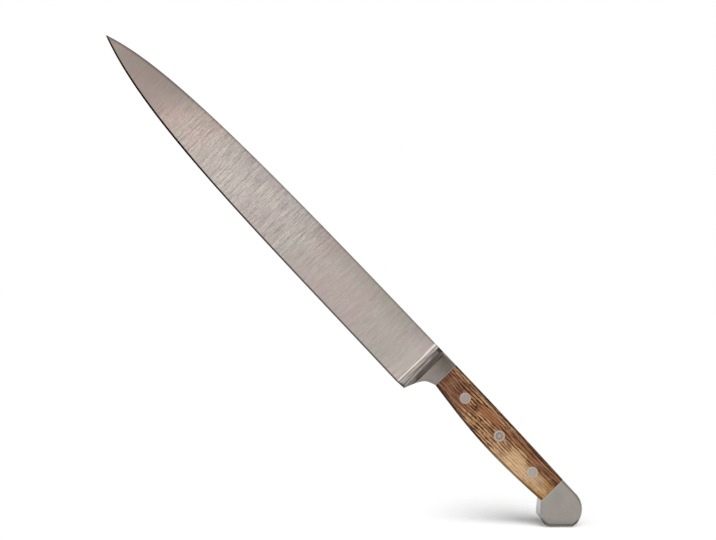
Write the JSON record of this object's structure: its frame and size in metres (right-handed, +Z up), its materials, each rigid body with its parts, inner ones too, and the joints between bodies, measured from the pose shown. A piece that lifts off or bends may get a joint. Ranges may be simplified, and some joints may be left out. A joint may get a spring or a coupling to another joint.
{
  "type": "carving knife",
  "caption": "Long slim carving knife with a pointed blade, hollow-fronted bolster, full tang, riveted wooden grip scales and a beaked steel butt.",
  "frame": {"origin": "middle of the outline seen from above, on the plane that the flat right side of the grip lies on", "axes": "+X from the tip to the butt, +Y from the cutting edge to the spine, +Z up through the left face"},
  "size_m": [0.3824, 0.0312, 0.016],
  "materials": {
    "forged_steel": "satin",
    "oak": "satin",
    "rivet_steel": "satin"
  },
  "bodies": {
    "root": {"blade_forging": "forged_steel", "scale_left": "oak", "scale_right": "oak", "front_rivet_stud": "rivet_steel", "front_rivet_sleeve": "rivet_steel", "middle_rivet_stud": "rivet_steel", "middle_rivet_sleeve": "rivet_steel", "rear_rivet_stud": "rivet_steel", "rear_rivet_sleeve": "rivet_steel"}
  },
  "joints": []
}
